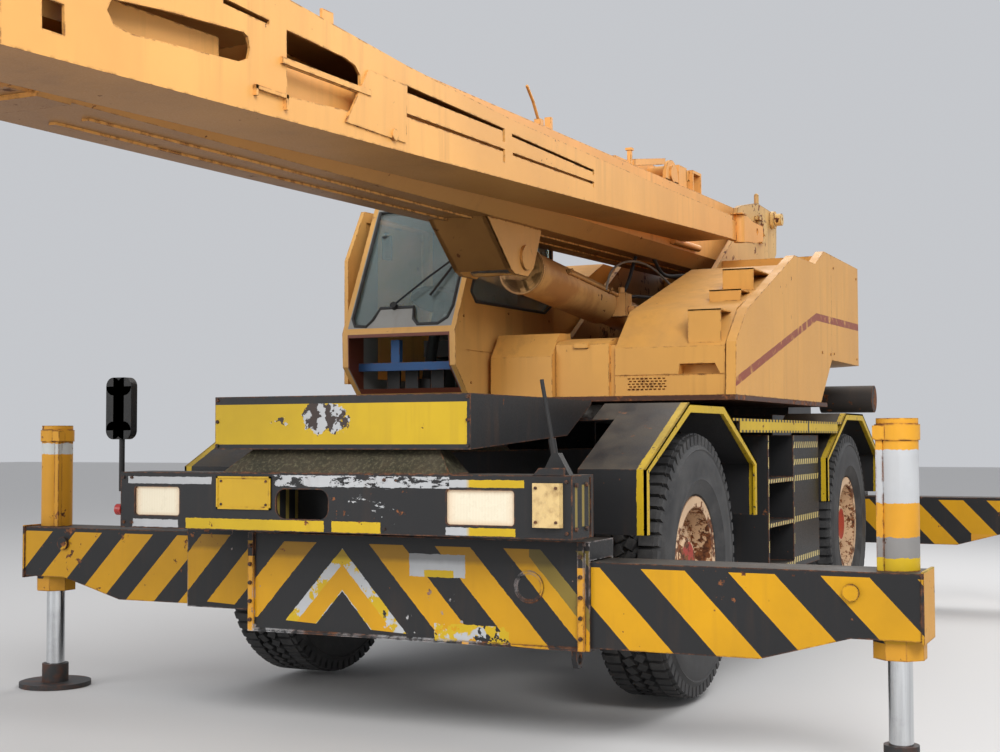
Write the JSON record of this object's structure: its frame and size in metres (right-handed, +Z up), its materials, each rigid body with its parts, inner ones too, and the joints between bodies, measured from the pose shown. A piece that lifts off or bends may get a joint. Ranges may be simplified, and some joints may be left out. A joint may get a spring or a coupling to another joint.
{
  "type": "rough terrain crane",
  "caption": "Two-axle rough-terrain crane on its outriggers, telescopic boom stowed over the front, fly jib along its side.",
  "frame": {"origin": "on the floor under the middle of the whole crane, floats down", "axes": "+X towards the boom's head, +Y to the crane's left, +Z up"},
  "size_m": [10.5499, 5.382, 3.4385],
  "materials": {
    "upper_orange": "satin",
    "carrier_black": "satin",
    "hazard_black": "satin",
    "rim_cream": "satin",
    "tyre_rubber": "matte",
    "chrome_rod": "polished",
    "bare_steel": "satin",
    "cast_grey": "matte",
    "window_glass": "polished",
    "lamp_glass": "polished",
    "black_plastic": "matte"
  },
  "bodies": {
    "carrier": {"chassis_frame": "carrier_black", "slew_ring": "bare_steel", "deck_plates": "carrier_black", "fenders": "carrier_black", "front_outrigger_box": "hazard_black", "rear_outrigger_box": "hazard_black", "front_bumper": "carrier_black", "rear_bumper": "carrier_black", "front_deck": "carrier_black", "carrier_lamps": "lamp_glass", "front_mirror": "black_plastic", "side_boxes": "carrier_black", "engine": "cast_grey", "engine_hood": "carrier_black", "muffler": "cast_grey", "axles": "cast_grey"},
    "turret": {"turret_frame": "upper_orange", "counterweight": "upper_orange", "left_housing": "upper_orange", "right_housing": "upper_orange", "front_covers": "upper_orange", "cab_shell": "upper_orange", "cab_glass": "window_glass", "cab_interior": "black_plastic"},
    "door": {"cab_door": "upper_orange"},
    "hoist": {"winch_drum": "bare_steel"},
    "boom": {"boom_base": "upper_orange", "fly_jib": "upper_orange"},
    "section_2": {"boom_section_2": "upper_orange"},
    "section_3": {"boom_section_3": "upper_orange"},
    "section_4": {"boom_section_4": "upper_orange", "head_sheaves": "bare_steel"},
    "barrel": {"lift_barrel": "upper_orange"},
    "rod": {"lift_rod": "chrome_rod"},
    "hook": {"hook_block": "hazard_black"},
    "knuckle_fl": {"knuckle_fl": "cast_grey"},
    "wheel_fl": {"rim_fl": "rim_cream", "tyre_fl": "tyre_rubber"},
    "beam_fl": {"beam_fl": "hazard_black"},
    "jack_fl": {"jack_fl": "chrome_rod"},
    "knuckle_fr": {"knuckle_fr": "cast_grey"},
    "wheel_fr": {"rim_fr": "rim_cream", "tyre_fr": "tyre_rubber"},
    "beam_fr": {"beam_fr": "hazard_black"},
    "jack_fr": {"jack_fr": "chrome_rod"},
    "knuckle_rl": {"knuckle_rl": "cast_grey"},
    "wheel_rl": {"rim_rl": "rim_cream", "tyre_rl": "tyre_rubber"},
    "beam_rl": {"beam_rl": "hazard_black"},
    "jack_rl": {"jack_rl": "chrome_rod"},
    "knuckle_rr": {"knuckle_rr": "cast_grey"},
    "wheel_rr": {"rim_rr": "rim_cream", "tyre_rr": "tyre_rubber"},
    "beam_rr": {"beam_rr": "hazard_black"},
    "jack_rr": {"jack_rr": "chrome_rod"}
  },
  "joints": [
    {"name": "slew", "type": "hinge", "parent": "carrier", "child": "turret", "pos_m": [-1.96501, 0, 1.6], "axis": [0, 0, 1], "continuous": true},
    {"name": "luff", "type": "hinge", "parent": "turret", "child": "boom", "pos_m": [-4.21501, 0, 3.12], "axis": [0, -1, 0], "range_deg": [0, 82.35]},
    {"name": "door_swing", "type": "hinge", "parent": "turret", "child": "door", "pos_m": [-1.23501, -1.141, 1.73], "axis": [0, 0, -1], "range_deg": [-8, 62]},
    {"name": "hoist_turn", "type": "hinge", "parent": "turret", "child": "hoist", "pos_m": [-3.54501, 0, 2.28], "axis": [0, 1, 0], "continuous": true},
    {"name": "barrel_swing", "type": "hinge", "parent": "turret", "child": "barrel", "pos_m": [-2.81501, 0, 2.191], "axis": [0, -1, 0], "range_deg": [-1, 88.03]},
    {"name": "rod_extend", "type": "slide", "parent": "barrel", "child": "rod", "axis": [0.997, 0, 0.0773], "range_m": [-0.01, 2.2]},
    {"name": "telescope_2", "type": "slide", "parent": "boom", "child": "section_2", "axis": [0.9992, 0, -0.041], "range_m": [0, 6.2]},
    {"name": "telescope_3", "type": "slide", "parent": "section_2", "child": "section_3", "axis": [0.9992, 0, -0.041], "range_m": [0, 6.2]},
    {"name": "telescope_4", "type": "slide", "parent": "section_3", "child": "section_4", "axis": [0.9992, 0, -0.041], "range_m": [0, 6.2]},
    {"name": "hook_swing", "type": "hinge", "parent": "section_4", "child": "hook", "pos_m": [5.085, 0, 2.19789], "axis": [0, 1, 0], "range_deg": [-1, 83.35]},
    {"name": "steer_fl", "type": "hinge", "parent": "carrier", "child": "knuckle_fl", "pos_m": [0.27499, 0.87, 0.715], "axis": [0, 0, 1], "range_deg": [-28, 28]},
    {"name": "wheel_turn_fl", "type": "hinge", "parent": "knuckle_fl", "child": "wheel_fl", "pos_m": [0.27499, 1.0825, 0.715], "axis": [0, 1, 0], "continuous": true},
    {"name": "beam_slide_fl", "type": "slide", "parent": "carrier", "child": "beam_fl", "axis": [0, 1, 0], "range_m": [-1.093, 0]},
    {"name": "jack_slide_fl", "type": "slide", "parent": "beam_fl", "child": "jack_fl", "axis": [0, 0, 1], "range_m": [-0.1, 0.34]},
    {"name": "steer_fr", "type": "hinge", "parent": "carrier", "child": "knuckle_fr", "pos_m": [0.27499, -0.87, 0.715], "axis": [0, 0, 1], "range_deg": [-28, 28]},
    {"name": "wheel_turn_fr", "type": "hinge", "parent": "knuckle_fr", "child": "wheel_fr", "pos_m": [0.27499, -1.0825, 0.715], "axis": [0, 1, 0], "continuous": true},
    {"name": "beam_slide_fr", "type": "slide", "parent": "carrier", "child": "beam_fr", "axis": [0, -1, 0], "range_m": [-0.807, 0.286]},
    {"name": "jack_slide_fr", "type": "slide", "parent": "beam_fr", "child": "jack_fr", "axis": [0, 0, 1], "range_m": [-0.1, 0.34]},
    {"name": "steer_rl", "type": "hinge", "parent": "carrier", "child": "knuckle_rl", "pos_m": [-3.60501, 0.87, 0.715], "axis": [0, 0, 1], "range_deg": [-28, 28]},
    {"name": "wheel_turn_rl", "type": "hinge", "parent": "knuckle_rl", "child": "wheel_rl", "pos_m": [-3.60501, 1.0825, 0.715], "axis": [0, 1, 0], "continuous": true},
    {"name": "beam_slide_rl", "type": "slide", "parent": "carrier", "child": "beam_rl", "axis": [0, 1, 0], "range_m": [-1.093, 0]},
    {"name": "jack_slide_rl", "type": "slide", "parent": "beam_rl", "child": "jack_rl", "axis": [0, 0, 1], "range_m": [-0.1, 0.34]},
    {"name": "steer_rr", "type": "hinge", "parent": "carrier", "child": "knuckle_rr", "pos_m": [-3.60501, -0.87, 0.715], "axis": [0, 0, 1], "range_deg": [-28, 28]},
    {"name": "wheel_turn_rr", "type": "hinge", "parent": "knuckle_rr", "child": "wheel_rr", "pos_m": [-3.60501, -1.0825, 0.715], "axis": [0, 1, 0], "continuous": true},
    {"name": "beam_slide_rr", "type": "slide", "parent": "carrier", "child": "beam_rr", "axis": [0, -1, 0], "range_m": [-1.093, 0]},
    {"name": "jack_slide_rr", "type": "slide", "parent": "beam_rr", "child": "jack_rr", "axis": [0, 0, 1], "range_m": [-0.1, 0.34]}
  ],
  "couplings": [
    {"joint": "barrel_swing", "follows": "luff", "ratio": 1.0569},
    {"joint": "rod_extend", "follows": "luff", "m_per_rad": 1.5237},
    {"joint": "hook_swing", "follows": "luff", "ratio": 1},
    {"joint": "telescope_3", "follows": "telescope_2", "ratio": 1},
    {"joint": "telescope_4", "follows": "telescope_2", "ratio": 1},
    {"joint": "steer_fr", "follows": "steer_fl", "ratio": 1},
    {"joint": "steer_rr", "follows": "steer_rl", "ratio": 1}
  ]
}
